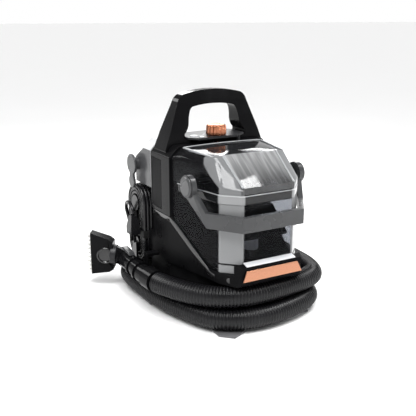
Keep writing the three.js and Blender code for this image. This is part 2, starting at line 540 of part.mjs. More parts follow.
// The block beside the clean tank carries its shoulder line out to the machine's left edge.
const BLOCK = { x: -108, inner: CLEAN.left - 1, front: CLEAN.front, rear: CLEAN.rear, low: 211 };
const SHOULDER = { high: 281, back: 60, rearHigh: 259, rearFrom: 96, inward: 18 };
function shoulderBlock() {
  const { x, inner, front, rear, low } = BLOCK;
  const { high, back, rearHigh, rearFrom, inward } = SHOULDER;
  const top = [x + inward, inner].flatMap((at) => [[at, front, CLEAN.top], [at, CLEAN.bevelY, CLEAN.top]]);
  const rearEdge = [x + 12, inner].flatMap((at) => [[at, rear, CLEAN.bevelZ], [at, rear, low]]);
  const outer = [[x, front, high], [x, back, high], [x, rearFrom, rearHigh], [x, rearFrom, low]];
  return hull([...outer, [x, front, low], [inner, front, low], ...top, ...rearEdge]);
}
function cordBracket() {
  const back = RECESS.x - GAP;
  const plate = box([back - 2.8, RECESS.y + GAP, RECESS.low + 3], [back, 111, 268]);
  const peg = (z) => rod([back - 1, HANK.y, z], [PEG.out, HANK.y, z], PEG.r);
  const low = HANK.z - HANK.run / 2;
  const flange = box([PEG.out - 4, HANK.y - 9, low - 36], [PEG.out, HANK.y + 9, low + 4]);
  const post = joined(
    shoulderBlock(),
    rod([BLOCK.x + 1, HOOK.y, HOOK.z], [HOOK.x + GAP, HOOK.y, HOOK.z], 12),
  );
  return joined(plate, peg(HANK.z + HANK.run / 2), peg(low), flange, post);
}
piece("cord_bracket", cordBracket(), "satin");
function cordHook() {
  const [a, b] = [HOOK.x, HOOK.x - HOOK.thick];
  const disc = rod([a, HOOK.y, HOOK.z], [b, HOOK.y, HOOK.z], HOOK.r);
  const lobe = rod([a, HOOK.y, HOOK.lobeZ], [b, HOOK.y, HOOK.lobeZ], HOOK.lobeR);
  const web = box([b, HOOK.y - 9, HOOK.lobeZ], [a, HOOK.y + 9, HOOK.z]);
  return joined(disc, lobe, web);
}
piece("cord_hook", cordHook(), "charcoal");

const hankOuter = HANK.inner + HANK.cord * (HANK.layers - 0.5);
const hankLow = HANK.x - HANK.cord * (HANK.columns - 0.5);
function cordHank() {
  const outline = racetrack(hankOuter, HANK.run, HANK.y, HANK.z);
  outline.holes.push(racetrack(HANK.inner - HANK.cord / 2, HANK.run, HANK.y, HANK.z));
  return alongX(outline, hankLow, HANK.x + HANK.cord / 2);
}
piece("cord_hank", cordHank(), "rubber");

const LEAD = [
  [-52, 112.6, 104], [-52, 121, 104], [-52, 130, 104], [-55, 142, 105], [-64, 151, 109], [-77, 153, 117],
  [-89, 148, 125], [-96, 140, 131], [-98, 134, 133], [-98, 129.2, 133.5],
];
const housingRear = 112;
function strainRelief() {
  return joined(
    rod([-52, housingRear + GAP, 104], [-52, housingRear + 4, 104], 8, 8, 16),
    rod([-52, housingRear + 3, 104], [-52, housingRear + 15, 104], 6.5, 4.6, 16),
  ).subtract(rod([-52, 100, 104], [-52, 140, 104], 4, 4, 12));
}
piece("strain_relief", strainRelief(), "rubber");
piece("cord_lead", tube(LEAD, HANK.cord / 2, 18, 8), "rubber");
const STRAP = { low: 104, high: 118, thick: 1.4 };
function cordStrap() {
  const [back, front] = [HANK.x + HANK.cord / 2 + GAP, hankLow - GAP];
  const [near, far] = [HANK.y - hankOuter - GAP, HANK.y + hankOuter + GAP];
  const t = STRAP.thick;
  const ring = (low, high) => {
    const band = box([front - t, low - t, STRAP.low], [back + t, high + t, STRAP.high]);
    return band.subtract(box([front, low, STRAP.low - 2], [back, high, STRAP.high + 2]));
  };
  return ring(near, far);
}
piece("cord_strap", cordStrap(), "rubber");
const PLUG = { x: -129, y: 69, top: 150, low: 112 };
const TAIL = [
  [-118, 111, 122], [-121, 111.4, 136], [-125, 110, 152], [-128, 103, 165], [-129, 90, 171], [-129, 77, 166],
  [-129, 69, 158], [-129, 69, PLUG.top + 0.5],
];
piece("plug_tail", tube(TAIL, HANK.cord / 2, 18, 8), "rubber");
function plug() {
  const { x, y } = PLUG;
  const body = hull([
    ...[[-10, -12], [10, -12], [10, 12], [-10, 12]].map(([dx, dy]) => [x + dx, y + dy, PLUG.low]),
    ...[[-10, -12], [10, -12], [10, 12], [-10, 12]].map(([dx, dy]) => [x + dx, y + dy, PLUG.low + 14]),
    ...[[-6, -6], [6, -6], [6, 6], [-6, 6]].map(([dx, dy]) => [x + dx, y + dy, PLUG.top]),
  ]);
  const pin = (dy) => box([x - 3.2, y + dy - 0.8, PLUG.low - 17], [x + 3.2, y + dy + 0.8, PLUG.low + 1]);
  return joined(body, pin(-6.3), pin(6.3));
}
piece("plug", plug(), "rubber");

// ---- hose, wand and stain tool ---------------------------------------------------------------------
const LOW = HOSE.low;
const TOP = HOSE.high;
const HOSE_ROUTE = [
  [60, 152, LOW], [68, 151.6, LOW], [102, 137, LOW], [124, 106, LOW], [134, 62, LOW], [136, 10, LOW],
  [136, -50, LOW], [134, -100, LOW], [127, -145, LOW], [112, -176, LOW], [84, -194, LOW], [46, -206, LOW],
  [4, -212, LOW], [-37, -209, LOW], [-68, -198, LOW], [-90, -180, LOW], [-104, -155, LOW], [-115, -122, LOW],
  [-126, -82, LOW], [-132, -36, LOW], [-134, 12, LOW], [-134, 58, LOW], [-127, 98, LOW], [-106, 130, LOW],
  [-78, 148, 25], [-50, 154, 34], [-22, 155, 47], [6, 155, 58], [34, 155, TOP], [72, 152, TOP],
  [112, 130, TOP], [134, 98, TOP], [143, 54, TOP], [145, 4, TOP], [145, -52, TOP], [143, -104, TOP],
  [137, -144, TOP], [122, -174, TOP], [92, -189, TOP], [48, -198, TOP], [4, -203, TOP], [-36, -202, TOP],
  [-68, -193, TOP], [-92, -177, TOP], [-111, -155, TOP], [-126, -128, TOP], [-138, -98, TOP], [-145, -70, 61],
];
piece("suction_hose", tube(HOSE_ROUTE, HOSE.r, 74, 12), "rubber");

function hoseInlet() {
  const flange = rod([INLET.x, 126.6, INLET.z], [INLET.x, 131, INLET.z], 19);
  const port = rod([INLET.x - 13, INLET.y, LOW], [INLET.x + 14.6, INLET.y, LOW], 18.4);
  const [near, far] = [INLET.x - 12, INLET.x + 12];
  const throat = hull([
    [near, 130, 26], [far, 130, 26], [near, 130, 56], [far, 130, 56],
    [near, 150, 10], [far, 150, 10], [near, 150, 36], [far, 150, 36],
  ]);
  return joined(flange, port, throat);
}
piece("hose_inlet", hoseInlet(), "satin");

const WAND_ROOT = [-148.7, -12, 60.4];
const WAND_BEND = [-146.5, 76, 61.8];
const WAND_ELBOW = [-147.6, 86, 62.6];
const TOOL_AXIS = new THREE.Vector3(-0.8285, 0.5523, 0.0921).normalize();
const COLLAR = { from: [-154, 96, 63.8], long: 13, r: 20 };
const TOOL = { mouth: 38, waist: 2, waistDeep: 13, waistHalf: 34, mouthDeep: 11, mouthHalf: 43, bristle: 15 };
const CHEEK = { along: -7, deep: 13, half: 28 };

// A place on the wand, as a share of the way from its root to its bend.
const onWand = (share) => WAND_ROOT.map((value, i) => value + share * (WAND_BEND[i] - value));
// A place on the tool: a distance past the collar's end, then sideways and up from its axis.
function onTool(along, sideways, up) {
  const end = new THREE.Vector3(...COLLAR.from).addScaledVector(TOOL_AXIS, COLLAR.long);
  const across = new THREE.Vector3().crossVectors(Z, TOOL_AXIS).normalize();
  end.addScaledVector(TOOL_AXIS, along).addScaledVector(across, sideways).addScaledVector(Z, up);
  return end.toArray();
}

piece("hose_cuff", joined(
  rod([-145.5, -66.5, 61], [-147.2, -37, 60.6], 20.5), rod([-147.2, -38, 60.6], [-148.6, -14, 60.4], 17.5),
), "gloss");
function collarRod(grow) {
  const start = new THREE.Vector3(...COLLAR.from).addScaledVector(TOOL_AXIS, -grow);
  return rod(start.toArray(), onTool(grow, 0, 0), COLLAR.r + grow);
}
function wand() {
  const bend = joined(
    rod(onWand(0.96), WAND_ELBOW, WAND.r + 1), rod(WAND_ELBOW, COLLAR.from, WAND.r + 1),
  );
  const bands = joined(rod(onWand(0.05), onWand(0.13), 19), rod(onWand(0.38), onWand(0.46), 19));
  const lug = box([TRIGGER.x - 3, TRIGGER.front, 74], [TRIGGER.x + 3, TRIGGER.front + 4, TRIGGER.low - GAP]);
  return cut(joined(rod(WAND_ROOT, WAND_BEND, WAND.r), bend, bands, lug), collarRod(GAP));
}
const TRIGGER = { front: 34, rear: 70, low: 79.4, lift: 4, tall: 6, half: 6, x: -148 };
piece("wand", wand(), "gloss");
function trigger() {
  const { front, rear, low, lift, tall, half, x } = TRIGGER;
  const side = (dx) => [
    [x + dx, front, low], [x + dx, front + 4, low + tall],
    [x + dx, rear, low + lift], [x + dx, rear, low + lift + tall],
  ];
  return hull([...side(-half), ...side(half)]);
}
piece("wand_trigger", trigger(), "charcoal");
piece("tool_collar", collarRod(0), "charcoal");
// The four corners of the tool's section, a distance along it.
const toolRing = (along, sideways, up) => [[1, 1], [1, -1], [-1, 1], [-1, -1]].map(
  ([a, b]) => onTool(along, a * sideways, b * up),
);
function tool() {
  const waist = toolRing(TOOL.waist, TOOL.waistDeep, TOOL.waistHalf);
  const mouth = toolRing(TOOL.mouth, TOOL.mouthDeep, TOOL.mouthHalf);
  const cheeks = toolRing(CHEEK.along, CHEEK.deep, CHEEK.half);
  return cut(joined(hull([...mouth, ...waist]), hull([...waist, ...cheeks])), collarRod(GAP));
}
piece("stain_tool", tool(), "gloss");
function bristleStrip() {
  const [near, far] = [TOOL.mouth + GAP, TOOL.mouth + GAP + TOOL.bristle];
  return hull([near, far].flatMap((along) => toolRing(along, TOOL.mouthDeep - 2, TOOL.mouthHalf - 2)));
}
piece("bristle_strip", bristleStrip(), "bristle");
function wandClip() {
  const arm = box([-131, 2, 84.6], [-106, 18, 90]);
  const back = box([-131, 2, 44], [-127.5, 18, 90]);
  return joined(arm, back);
}
piece("wand_clip", wandClip(), "satin");

export default machine;
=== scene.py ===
"""Spot extractor: the looks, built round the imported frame. Metres, +Z up, front towards -Y."""
import json
from math import pi, radians

import bmesh
import bpy
import numpy as np
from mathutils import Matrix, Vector


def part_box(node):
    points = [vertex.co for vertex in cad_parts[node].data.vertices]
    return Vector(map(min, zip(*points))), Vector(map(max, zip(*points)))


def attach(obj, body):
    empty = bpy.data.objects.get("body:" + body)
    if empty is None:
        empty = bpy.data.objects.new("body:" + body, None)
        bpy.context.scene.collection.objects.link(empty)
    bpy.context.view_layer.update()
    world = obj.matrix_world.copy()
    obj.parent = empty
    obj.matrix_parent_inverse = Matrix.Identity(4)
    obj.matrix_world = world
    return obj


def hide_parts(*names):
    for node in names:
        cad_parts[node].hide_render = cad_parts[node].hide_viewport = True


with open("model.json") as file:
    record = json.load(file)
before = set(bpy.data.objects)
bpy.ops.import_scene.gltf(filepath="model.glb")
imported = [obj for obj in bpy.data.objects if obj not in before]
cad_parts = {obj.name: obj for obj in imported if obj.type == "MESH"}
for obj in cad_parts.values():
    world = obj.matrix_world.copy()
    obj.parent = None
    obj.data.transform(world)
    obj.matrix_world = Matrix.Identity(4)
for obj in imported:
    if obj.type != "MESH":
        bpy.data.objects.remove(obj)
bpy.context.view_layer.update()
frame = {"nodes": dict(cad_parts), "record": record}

MM = 0.001
SHIFT_Y = 0.029  # the machine's spine stands this far behind the middle of the footprint
NODES = frame["nodes"]
SLOT_OF = {part["node"]: part["material_slot"] for part in frame["record"]["subparts"]}
BODY_OF = {
    node: body
    for body, nodes in frame["record"]["behaviour"]["bodies"].items()
    for node in nodes
}


def placed(points):
    """Machine millimetres, spine centred, to frame metres."""
    return np.array(points, float) * MM + np.array([0.0, SHIFT_Y, 0.0])


# ---- camera --------------------------------------------------------------------------------------
FOCAL_OVER_WIDTH = 673.3 / 416
SENSOR = 36.0
CAMERA_PLACE = (-0.6273, -1.0660, 0.5195)
LOOKS_DOWN, LOOKS_RIGHT = 15.8, 29.8  # degrees
camera = bpy.data.objects.new("camera", bpy.data.cameras.new("camera"))
camera.data.sensor_width = SENSOR
camera.data.lens = SENSOR * FOCAL_OVER_WIDTH
camera.location = CAMERA_PLACE
camera.rotation_euler = (radians(90 - LOOKS_DOWN), 0, radians(-LOOKS_RIGHT))
bpy.context.collection.objects.link(camera)
bpy.context.scene.camera = camera


# ---- surface helpers -----------------------------------------------------------------------------
SAME_PLACE = 1e-6  # vertices this close on a swept piece are one
SAME_CORNER = 2e-5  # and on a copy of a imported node, whose triangles are loose
FLAT = radians(0.6)  # faces that meet at less than this are one flat face
SHARP = radians(30)  # edges that turn more than this are rounded over
STEPS_PER_KNOT = 24


def as_piece(name, vertices, faces, smooth=True):
    mesh = bpy.data.meshes.new(name)
    mesh.from_pydata(vertices.tolist(), [], faces)
    mesh.validate()
    mesh.polygons.foreach_set("use_smooth", [smooth] * len(mesh.polygons))
    piece = bpy.data.objects.new(name, mesh)
    bpy.context.collection.objects.link(piece)
    return piece


def grid_faces(rings, sides, capped=True):
    """Quads between neighbouring rings, closed round each ring, with a flat face at either end."""
    i, j = np.meshgrid(np.arange(rings - 1), np.arange(sides), indexing="ij")
    k = (j + 1) % sides
    quads = np.stack([i * sides + j, i * sides + k, (i + 1) * sides + k, (i + 1) * sides + j], -1)
    faces = quads.reshape(-1, 4).tolist()
    if capped:
        faces.append(list(range(sides))[::-1])
        faces.append(list(range((rings - 1) * sides, rings * sides)))
    return faces


def facing_out(piece):
    """Recalculates the normals of a closed piece so that they point outwards."""
    shape = bmesh.new()
    shape.from_mesh(piece.data)
    bmesh.ops.remove_doubles(shape, verts=shape.verts, dist=SAME_PLACE)
    bmesh.ops.recalc_face_normals(shape, faces=shape.faces)
    shape.to_mesh(piece.data)
    shape.free()
    return piece


def curve_through(points, spacing):
    """Evenly spaced places on a centripetal Catmull-Rom curve: knots grow by the root of the chord."""
    p = np.array(points, float)
    p = np.vstack([2 * p[0] - p[1], p, 2 * p[-1] - p[-2]])
    chord = np.sqrt(np.linalg.norm(np.diff(p, axis=0), axis=1))
    knot = np.concatenate([[0], np.cumsum(chord)])
    fine = []
    for n in range(1, len(p) - 2):
        t = np.linspace(knot[n], knot[n + 1], STEPS_PER_KNOT, endpoint=False)[:, None]
        k0, k1, k2, k3 = knot[n - 1:n + 3]
        a1 = (k1 - t) / (k1 - k0) * p[n - 1] + (t - k0) / (k1 - k0) * p[n]
        a2 = (k2 - t) / (k2 - k1) * p[n] + (t - k1) / (k2 - k1) * p[n + 1]
        a3 = (k3 - t) / (k3 - k2) * p[n + 1] + (t - k2) / (k3 - k2) * p[n + 2]
        b1 = (k2 - t) / (k2 - k0) * a1 + (t - k0) / (k2 - k0) * a2
        b2 = (k3 - t) / (k3 - k1) * a2 + (t - k1) / (k3 - k1) * a3
        fine.append((k2 - t) / (k2 - k1) * b1 + (t - k1) / (k2 - k1) * b2)
    return evenly(np.vstack(fine + [p[-2][None]]), spacing)


def evenly(path, spacing):
    """The same line with its points a fixed distance apart."""
    run = np.concatenate([[0], np.cumsum(np.linalg.norm(np.diff(path, axis=0), axis=1))])
    count = max(2, int(round(run[-1] / spacing)) + 1)
    at = np.linspace(0, run[-1], count)
    return np.stack([np.interp(at, run, path[:, axis]) for axis in range(3)], 1)


def unit(vector):
    return np.array(vector, float) / np.linalg.norm(vector)


def unit_rows(vectors):
    return vectors / np.linalg.norm(vectors, axis=1)[:, None]


def side_vectors(path):
    """Two unit vectors across the path at each point, carried along it without twist."""
    tangent = unit_rows(np.gradient(path, axis=0))
    across = np.cross(tangent[0], [0, 0, 1] if abs(tangent[0][2]) < 0.9 else [1, 0, 0])
    sides = []
    for t in tangent:
        across = unit(across - np.dot(across, t) * t)
        sides.append(across)
    sides = np.array(sides)
    return sides, np.cross(tangent, sides)


def tube_along(name, path, radii, sides):
    """A round tube: centre + r(s) * (cos a * u + sin a * v) at each point s of the path."""
    u, v = side_vectors(path)
    angle = np.linspace(0, 2 * pi, sides, endpoint=False)
    r = np.broadcast_to(radii, len(path))[:, None, None]
    rings = path[:, None] + r * (
        np.cos(angle)[None, :, None] * u[:, None] + np.sin(angle)[None, :, None] * v[:, None]
    )
    return facing_out(as_piece(name, rings.reshape(-1, 3), grid_faces(len(path), sides)))


def turned(name, start, end, profile, sides=48, fluting=None):
    """A turned piece: profile rows are (fraction along, radius in mm); fluting scales r by angle."""
    a, b = placed([start])[0], placed([end])[0]
    axis = unit(b - a)
    u = unit(np.cross(axis, [1, 0, 0] if abs(axis[0]) < 0.9 else [0, 1, 0]))
    v = np.cross(axis, u)
    rows = np.array(profile, float)
    angle = np.linspace(0, 2 * pi, sides, endpoint=False)
    scale = np.ones((len(rows), sides)) if fluting is None else fluting(rows, angle)
    r = rows[:, 1, None] * MM * scale
    centre = a + rows[:, 0, None] * (b - a)
    rings = centre[:, None] + r[..., None] * (
        np.cos(angle)[None, :, None] * u + np.sin(angle)[None, :, None] * v
    )
    return facing_out(as_piece(name, rings.reshape(-1, 3), grid_faces(len(rows), sides)))


def softened(node, width, segments=3):
    """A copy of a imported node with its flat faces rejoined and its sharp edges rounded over."""
    mesh = NODES[node].data.copy()
    shape = bmesh.new()
    shape.from_mesh(mesh)
    bmesh.ops.remove_doubles(shape, verts=shape.verts, dist=SAME_CORNER)
    bmesh.ops.dissolve_limit(shape, angle_limit=FLAT, verts=shape.verts, edges=shape.edges)
    bmesh.ops.recalc_face_normals(shape, faces=shape.faces)
    for face in shape.faces:
        face.smooth = True
    shape.to_mesh(mesh)
    shape.free()
    piece = bpy.data.objects.new(node + "_finished", mesh)
    bpy.context.collection.objects.link(piece)
    bevel = piece.modifiers.new("rounded_edges", "BEVEL")
    bevel.width = width * MM
    bevel.segments = segments
    bevel.limit_method = "ANGLE"
    bevel.angle_limit = SHARP
    bevel.use_clamp_overlap = True
    piece.modifiers.new("even_shading", "WEIGHTED_NORMAL").keep_sharp = True
    return piece


REPLACED = {"cord_lead", "cord_hank", "plug_tail"}  # by the one cord; the others join as they come


def belongs(piece, node, finish):
    """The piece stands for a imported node, moves with its body and takes its finish."""
    paint(piece, finish)
    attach(piece, BODY_OF[node])
    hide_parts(node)
    REPLACED.add(node)
    return piece


def added(piece, body, finish):
    """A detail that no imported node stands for."""
    paint(piece, finish)
    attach(piece, body)
    return piece


def paint(piece, finish):
    piece.data.materials.clear()
    piece.data.materials.append(finish)


# ---- shader helpers ------------------------------------------------------------------------------
class Num:
    """A number that varies over a surface. Arithmetic on it adds Math nodes."""

    def __init__(self, bench, socket):
        self.bench = bench
        self.socket = socket

    def maths(self, operation, first, second):
        return self.bench.add("ShaderNodeMath", {"operation": operation}, {0: first, 1: second})

    def __add__(self, other):
        return self.maths("ADD", self, other)

    def __sub__(self, other):
        return self.maths("SUBTRACT", self, other)

    def __rsub__(self, other):
        return self.maths("SUBTRACT", other, self)

    def __mul__(self, other):
        return self.maths("MULTIPLY", self, other)

    __radd__ = __add__
    __rmul__ = __mul__


class Bench:
    """One material in the making."""

    def __init__(self, name, base, roughness, metallic=0.0, **constants):
        self.material = bpy.data.materials.new(name)
        self.material.use_nodes = True
        self.tree = self.material.node_tree
        self.skin = self.tree.nodes["Principled BSDF"]
        self.skin.inputs["Base Color"].default_value = (*base, 1)
        self.skin.inputs["Roughness"].default_value = roughness
        self.skin.inputs["Metallic"].default_value = metallic
        for key, value in constants.items():
            self.skin.inputs[key.replace("_", " ")].default_value = value

    def plug_in(self, socket, value):
        if isinstance(value, Num):
            self.tree.links.new(value.socket, socket)
        else:
            socket.default_value = value

    def add(self, kind, settings=None, inputs=None, output=0):
        node = self.tree.nodes.new(kind)
        for key, value in (settings or {}).items():
            setattr(node, key, value)
        for key, value in (inputs or {}).items():
            self.plug_in(node.inputs[key], value)
        return Num(self, node.outputs[output])

    def place(self, scale=(1, 1, 1)):
        where = self.add("ShaderNodeTexCoord", output="Object")
        return self.add("ShaderNodeMapping", {}, {"Vector": where, "Scale": scale})

    def noise(self, scale, detail=3.0, stretch=(1, 1, 1)):
        return self.add(
            "ShaderNodeTexNoise", {},
            {"Vector": self.place(stretch), "Scale": scale, "Detail": detail},
        )

    def axis(self, index):
        where = self.add("ShaderNodeTexCoord", output="Object")
        return self.add("ShaderNodeSeparateXYZ", {}, {0: where}, index)

    def ramp(self, value, low, high, start=0.0, end=1.0):
        return self.add(
            "ShaderNodeMapRange", {"interpolation_type": "SMOOTHSTEP"},
            {0: value, 1: low, 2: high, 3: start, 4: end},
        )

    def blended(self, mask, first, second):
        return self.add(
            "ShaderNodeMix", {"data_type": "RGBA"}, {0: mask, 6: (*first, 1), 7: (*second, 1)}, 2
        )

    def mixed(self, mask, first, second, blend_type="MIX"):
        """As blended, for tones of which one or both vary already."""
        settings = {"data_type": "RGBA", "blend_type": blend_type}
        return self.add("ShaderNodeMix", settings, {0: mask, 6: first, 7: second}, 2)

    def wear(self, socket, value):
        self.plug_in(self.skin.inputs[socket], value)

    def bump(self, height, depth, strength):
        self.plug_in(self.skin.inputs["Normal"], self.add(
            "ShaderNodeBump", {}, {"Height": height, "Distance": depth, "Strength": strength}
        ))


PATCH_SCALE, GRAIN_SCALE, WAVE_SCALE, HAZE_SCALE = 22, 900, 60, 30
WAVE_DEPTH = 0.02 * MM


def moulded(name, base, roughness, grain=0.0, smudge=0.06, shine=0.5, **constants):
    """Moulded plastic: a fine grain in the mould, and handling that dulls it in soft patches."""
    bench = Bench(name, base, roughness, Specular_IOR_Level=shine, **constants)
    patches = bench.noise(PATCH_SCALE, 4)
    dulled = bench.ramp(patches, 0.3, 0.75, roughness - smudge / 2, roughness + smudge)
    bench.wear("Roughness", dulled)
    light = tuple(min(1.0, channel * 1.25 + 0.002) for channel in base)
    bench.wear("Base Color", bench.blended(bench.ramp(patches, 0.35, 0.8), base, light))
    if grain:
        bench.bump(bench.noise(GRAIN_SCALE, 2), grain * MM, 0.12)
    else:
        bench.bump(bench.noise(WAVE_SCALE, 2), WAVE_DEPTH, 0.2)
    return bench.material


def brushed(name, base, roughness, stretch):
    """Metal drawn one way: fine streaks in tone, roughness and height."""
    bench = Bench(name, base, roughness, 1.0)
    streaks = bench.noise(260, 4, stretch)
    dark = tuple(channel * 0.82 for channel in base)
    bench.wear("Base Color", bench.blended(streaks, dark, base))
    bench.wear("Roughness", bench.ramp(streaks, 0.2, 0.8, roughness - 0.06, roughness + 0.1))
    bench.bump(streaks, 0.03 * MM, 0.25)
    return bench.material


# The clear mouldings' front corners take a lighter, denser tone there: a painted reflection.
CORNER_SUM = 0.227  # |x| - y on the flat of a front corner
CORNER_FADE = (0.006, 0.002)
LEAN_FROM = 0.25  # the lid's front corners lean inwards above this height
PAINTED_LID_SHEEN = {  # painted reflection on the lid's sloping front, lighter towards the top and streaked, and how it fades
    "half_width": (0.0555, 0.0525), "y": (-0.108, -0.1145), "z": (0.247, 0.292),
    "low_tone": (0.11, 0.112, 0.115), "cover": 0.78, "streaks": 34, "stretch": (4.2, 0.35, 0.35),
}
GLASS_TONE = (0.78, 0.79, 0.81, 1)


def see_through(name, tint, corner_reflection_tone, cover, corner_reflection_cover, painted_sheen_top=None, sheen=1.2, lean=0.0,
                shine=0.5):
    """Clear moulding: mostly see-through, denser at a glancing angle; its front corners carry a
    painted reflection, a lighter and denser tone.
    """
    bench = Bench(name, tint, 0.06, Specular_IOR_Level=shine)
    x = bench.add("ShaderNodeMath", {"operation": "ABSOLUTE"}, {0: bench.axis(0)})
    reach = x - bench.axis(1)
    if lean:
        height = bench.axis(2) - LEAN_FROM
        above = bench.add("ShaderNodeMath", {"operation": "MAXIMUM"}, {0: height, 1: 0.0})
        reach = reach + above * lean
    # painted reflection: lighter tone and denser cover on the front corners
    corner = bench.ramp(reach, *(CORNER_SUM - fade for fade in CORNER_FADE))
    tone = bench.blended(corner, tint, corner_reflection_tone)
    bench.wear("Roughness", bench.ramp(bench.noise(HAZE_SCALE, 3), 0.3, 0.8, 0.035, 0.085))
    facing = bench.add("ShaderNodeLayerWeight", {}, {"Blend": 0.5}, 1)
    edge = bench.add("ShaderNodeMath", {"operation": "POWER"}, {0: facing, 1: 4.0})
    share = cover + edge * sheen + corner * (corner_reflection_cover - cover)
    # painted reflection: the lid's front slope is lighter towards its top, streaked, and denser
    if painted_sheen_top:
        front = bench.ramp(x, *PAINTED_LID_SHEEN["half_width"]) * bench.ramp(bench.axis(1), *PAINTED_LID_SHEEN["y"])
        upper = bench.ramp(bench.axis(2), *PAINTED_LID_SHEEN["z"])
        streaks = bench.noise(PAINTED_LID_SHEEN["streaks"], 2, PAINTED_LID_SHEEN["stretch"])
        painted_sheen = bench.blended(upper, PAINTED_LID_SHEEN["low_tone"], painted_sheen_top)
        painted_sheen_streaks = bench.blended(bench.ramp(streaks, 0.42, 0.66) * 0.55, (0, 0, 0), (1, 1, 1))
        tone = bench.mixed(front, tone, bench.mixed(0.5, painted_sheen, painted_sheen_streaks, "MULTIPLY"))
        share = share + front * (PAINTED_LID_SHEEN["cover"] - cover)
    bench.wear("Base Color", tone)
    through = bench.add("ShaderNodeBsdfTransparent", {}, {"Color": GLASS_TONE})
    skin = Num(bench, bench.skin.outputs[0])
    whole = bench.add("ShaderNodeMixShader", {}, {0: share, 1: through, 2: skin})
    bench.tree.links.new(whole.socket, bench.tree.nodes["Material Output"].inputs["Surface"])
    return bench.material


GLOSS = moulded("gloss_black", (0.004, 0.004, 0.0045), 0.12, smudge=0.03, shine=0.07)
TRIM_GLOSS = moulded("gloss_trim", (0.005, 0.005, 0.0055), 0.1, smudge=0.03, shine=0.7)
SATIN = moulded("satin_black", (0.0045, 0.0045, 0.005), 0.3, shine=0.03)
CHARCOAL = moulded("charcoal", (0.040, 0.041, 0.043), 0.27, 0.02, shine=0.5)
LUG_GREY = moulded("base_charcoal", (0.12, 0.12, 0.125), 0.45, 0.06, shine=0.3)
DARK_PLATE = moulded("control_plate_grey", (0.020, 0.020, 0.022), 0.4, 0.05, shine=0.3)
PALE = moulded("pale_plastic", (0.66, 0.67, 0.69), 0.22)
RUBBER = moulded("rubber", (0.010, 0.010, 0.010), 0.66, 0.08, shine=0.3)
CORD = moulded("mains_cord", (0.006, 0.006, 0.007), 0.25, 0.02, shine=0.4)
HOSE = moulded("ribbed_hose", (0.006, 0.006, 0.007), 0.3, 0.0, shine=0.3)
# The emission is painted light: a glow that lifts the tufts' shaded sides.
GLOWING_BRISTLE = moulded("nylon_bristle_painted_glow", (0.86, 0.86, 0.83), 0.5, 0.02,
                  Emission_Color=(0.85, 0.85, 0.82, 1), Emission_Strength=0.3)
BOARD = moulded("circuit_board", (0.015, 0.10, 0.04), 0.4, 0.05)
STEEL = brushed("plated_steel", (0.5, 0.5, 0.52), 0.3, (1, 1, 12))
COPPER = brushed("copper_dial", (0.62, 0.25, 0.14), 0.2, (12, 12, 1))
PLATE_COPPER = brushed("copper_plate", (0.66, 0.31, 0.19), 0.3, (1, 12, 12))
# The lighter corner tones given here are painted reflection on the front corners.
CLEAR = see_through("clear_plastic", (0.022, 0.0225, 0.024), (0.27, 0.275, 0.28), 0.16, 0.95,
                    sheen=0.5, shine=0.2)
# The lid's front slope carries a painted reflection.
LID_CLEAR = see_through("clear_lid", (0.022, 0.0225, 0.024), (0.22, 0.225, 0.23), 0.2, 0.8,
                        painted_sheen_top=(0.46, 0.465, 0.47), sheen=0.9, lean=1.25)
RIM = see_through("rim_band_plastic", (0.014, 0.0145, 0.0155), (0.30, 0.305, 0.31), 0.86, 0.95,
                  sheen=0.15)
# Near-white clear plastic for ribs and lines: a painted highlight along edges that catch the light.
CLEAR_EDGE_HIGHLIGHT = see_through("clear_edge_painted_highlight", (0.42, 0.43, 0.44), (0.5, 0.51, 0.52), 0.7, 0.9)
SMOKE = see_through("smoky_plastic", (0.010, 0.0105, 0.012), (0.03, 0.03, 0.032), 0.7, 0.8)


BLOCK_OUTER_X = (-0.1079, -0.1072)  # the painted highlight on the bevel fades in just inside these faces
BLOCK_INNER_X = (-0.0776, -0.0784)
BLOCK_REAR_Y = (0.1368, 0.1350)
BLOCK_LOW_Z = (0.2085, 0.2115)


def bracket_with_painted_highlight():
    """Dark bracket whose upper block carries a painted highlight along its outer edge: a pale tone for
    the clean tank's lit bevel.
    """
    bench = Bench("bracket_shoulder", (0.045, 0.046, 0.048), 0.22, Specular_IOR_Level=0.4)
    above = bench.ramp(bench.axis(2), *BLOCK_LOW_Z)
    bevel = bench.ramp(bench.axis(0), *BLOCK_OUTER_X) * bench.ramp(bench.axis(1), *BLOCK_REAR_Y)
    bevel = bevel * bench.ramp(bench.axis(0), *BLOCK_INNER_X)
    cloud = bench.noise(24, 3)
    dark = bench.blended(above, (0.005, 0.005, 0.0055), (0.06, 0.061, 0.064))
    # painted highlight: the lit bevel, pale and clouded
    painted_bevel_highlight = bench.blended(bench.ramp(cloud, 0.3, 0.7), (0.6, 0.61, 0.62), (0.75, 0.755, 0.76))
    bench.wear("Base Color", bench.mixed(above * bevel, dark, painted_bevel_highlight))
    bench.wear("Roughness", bench.ramp(cloud, 0.3, 0.7, 0.18, 0.28))
    return bench.material


BRACKET = bracket_with_painted_highlight()
FINISH = {
    "gloss_black": GLOSS, "satin_black": SATIN, "charcoal": CHARCOAL, "clear_plastic": CLEAR,
    "smoke_plastic": SMOKE, "copper": COPPER, "pale_plastic": PALE, "rubber": RUBBER, "cord": CORD,
    "hose": HOSE, "steel": STEEL, "board": BOARD, "bristle": GLOWING_BRISTLE,
}

